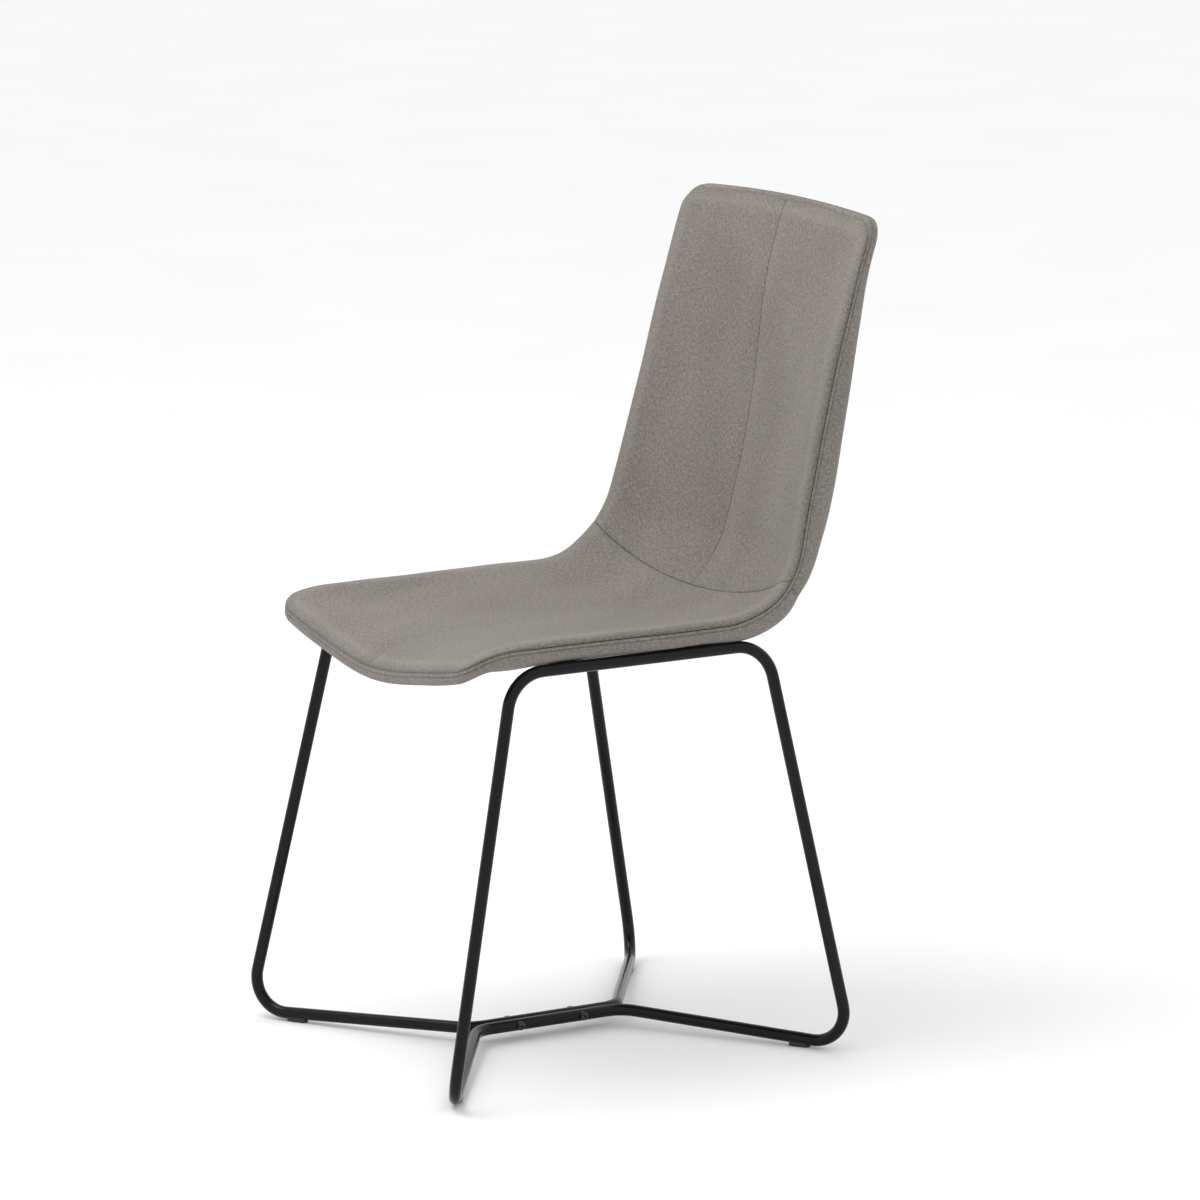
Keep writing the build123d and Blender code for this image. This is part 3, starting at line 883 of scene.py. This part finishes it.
rear_rings = [
    (0.0032, lambda s, x: seam_drop(s, x) + 0.0012),
    (0.0030, lambda s, x: strip_end(s, x) - 0.0004),
    (0.0006, lambda s, x: strip_end(s, x) + 0.0001),
    *[wall_ring(share) for share in (0.0, 0.15, 0.35, 0.65, 1.0)],
    *[corner_ring(angle) for angle in (15, 30, 45, 60, 75, 90)],
]
rear_plan = Plan(rear_seam, seam_in_middle=False)
rear_cover = Cover(rear_plan, rear_rings)
rear_marks = rear_cover.marks
to_rear_seam = np.abs(rear_marks[:, 1] - REAR_SEAM)
rear_sink = SEAM_DEPTH * np.exp(-to_rear_seam / SEAM_WIDTH)
rear_sink = rear_sink + 0.0008 * np.exp(-to_rear_seam / SEAM_PULL)
free_of_plates = clear_of_plates(rear_marks)
rear_height = -rear_sink + SOFT_WAVES * soft_noise(rear_marks, 0.020, 8) * free_of_plates
on_lattice = np.arange(len(rear_marks)) >= rear_cover.ring_count * len(rear_cover.rim)
rear_points = lift(rear_cover.points, rear_marks, np.where(on_lattice, -rear_height, 0))
rear_points = puffed(
    rear_points, rear_cover, rear_plan.split_row, None, -CLOTH_PRESSURE, free_of_plates)
# Painted shade along the rear seam's groove
rear_seam_shade = -np.exp(-to_rear_seam / SEAM_SHADE)
rear_row = rear_plan.split_row
rear_panels = {
    "underside_cover_panel": (
        lambda row, column: row < rear_row, ("underside_cover",)),
    "rear_cover_panel": (
        lambda row, column: row > rear_row, ("rear_back_cover", "rear_wadding")),
}
for name, (keep, nodes) in rear_panels.items():
    panel = add_panel(name, rear_points, rear_cover.faces(keep), rear_cover.cloth, rear_seam_shade, 1)
    dress(panel, cover_fabric, "cover_fabric", *nodes)

# ---------------------------------------------------------------- welt

rim_rows, rim_columns = front_plan.rim().T
welt_points, welt_marks = [], []
for side in range(WELT_SIDES):
    angle = 2 * math.pi * side / WELT_SIDES

    def welt_depth(s, x, angle=angle):
        start = seam_drop(s, x) + 0.0001 - 0.0018 * top_open(s)
        end = strip_end(s, x) + 0.0001
        return (start + end) / 2 - (end - start) / 2 * math.cos(angle)

    def out(s, angle=angle):
        deep = 0.0009 + 0.6 * WELT_FACE * top_open(s)
        return deep - (WELT_PROUD + deep) * math.sin(angle)

    along, across = front_plan.lattice(out, welt_depth)
    along, across = along[rim_rows, rim_columns], across[rim_rows, rim_columns]
    welt_points.append(place(along, across, welt_depth))
    steps = np.diff(welt_points[0], axis=0, prepend=welt_points[0][-1:])
    run = np.cumsum(np.linalg.norm(steps, axis=1))
    welt_marks.append(np.stack([np.full(len(run), side * 0.001), run], axis=1))
count = len(rim_rows)
welt_faces = [
    (a * count + k, a * count + (k + 1) % count,
     (a + 1) % WELT_SIDES * count + (k + 1) % count, (a + 1) % WELT_SIDES * count + k)
    for a in range(WELT_SIDES) for k in range(count)
]
welt = add_mesh("welt", np.concatenate(welt_points), welt_faces, np.concatenate(welt_marks))
rounded = welt.modifiers.new("rounding", "SUBSURF")
rounded.levels = rounded.render_levels = 1
dress(welt, welt_fabric, "welt_fabric", "perimeter_welt")

# ---------------------------------------------------------------- floor, light and camera


def pale_floor():
    """Matt, almost white floor with hardly visible variation."""
    n = Nodes("floor")
    spot = n.add("TexCoord").outputs["Object"]
    colour = n.ramp(n.noise(spot, 3, 3), (0.3, (0.93, 0.93, 0.93)), (0.7, (0.95, 0.95, 0.95)))
    return n.finish(Base_Color=colour, Roughness=0.9, Specular_IOR_Level=0.1)


FLOOR_RADIUS = 40.0
FLOOR_SIDES = 96
floor_ring = [
    (FLOOR_RADIUS * math.cos(a), FLOOR_RADIUS * math.sin(a), 0)
    for a in np.linspace(0, 2 * math.pi, FLOOR_SIDES, endpoint=False)
]
floor = add_mesh("floor", np.array(floor_ring), [tuple(range(FLOOR_SIDES))])
floor.data.materials.append(pale_floor())

world = bpy.data.worlds.new("studio")
world.use_nodes = True
world.node_tree.nodes["Background"].inputs["Color"].default_value = (1, 1, 1, 1)
world.node_tree.nodes["Background"].inputs["Strength"].default_value = 1.0
scene = bpy.context.scene
scene.world = world
scene.view_settings.view_transform = "Standard"


def softbox(name, position, target, size, power):
    """A large rectangular light, facing the chair."""
    data = bpy.data.lights.new(name, "AREA")
    data.shape = "RECTANGLE"
    data.size = size
    data.size_y = size
    data.energy = power
    light = bpy.data.objects.new(name, data)
    light.location = position
    light.rotation_mode = "QUATERNION"
    light.rotation_quaternion = (Vector(target) - Vector(position)).to_track_quat("-Z", "Y")
    scene.collection.objects.link(light)


softbox("key", (-0.6, -1.1, 3.8), (0, 0, 0.4), 2.0, 46)

CAMERA_AZIMUTH, CAMERA_ELEVATION = math.radians(60.451), math.radians(11.124)
CAMERA_DISTANCE = 6.2755
CAMERA_ROLL = math.radians(-0.393)
AIM_RIGHT, AIM_Z = 0.0594, 0.4674

ca, sa = math.cos(CAMERA_AZIMUTH), math.sin(CAMERA_AZIMUTH)
ce, se = math.cos(CAMERA_ELEVATION), math.sin(CAMERA_ELEVATION)
back = Vector((sa * ce, -ca * ce, se))
right = Vector((ca, sa, 0))
up = back.cross(right)
aim = right * AIM_RIGHT + Vector((0, FRAME_Y, AIM_Z))
rolled_right = right * math.cos(CAMERA_ROLL) + up * math.sin(CAMERA_ROLL)
rolled_up = up * math.cos(CAMERA_ROLL) - right * math.sin(CAMERA_ROLL)
camera_data = bpy.data.cameras.new("camera")
camera_data.sensor_width = 36.0
camera_data.lens = 180.37
camera_data.clip_end = 100.0
camera = bpy.data.objects.new("camera", camera_data)
camera.matrix_world = Matrix.Translation(aim + back * CAMERA_DISTANCE) @ Matrix(
    (rolled_right, rolled_up, back)
).transposed().to_4x4()
scene.collection.objects.link(camera)
scene.camera = camera
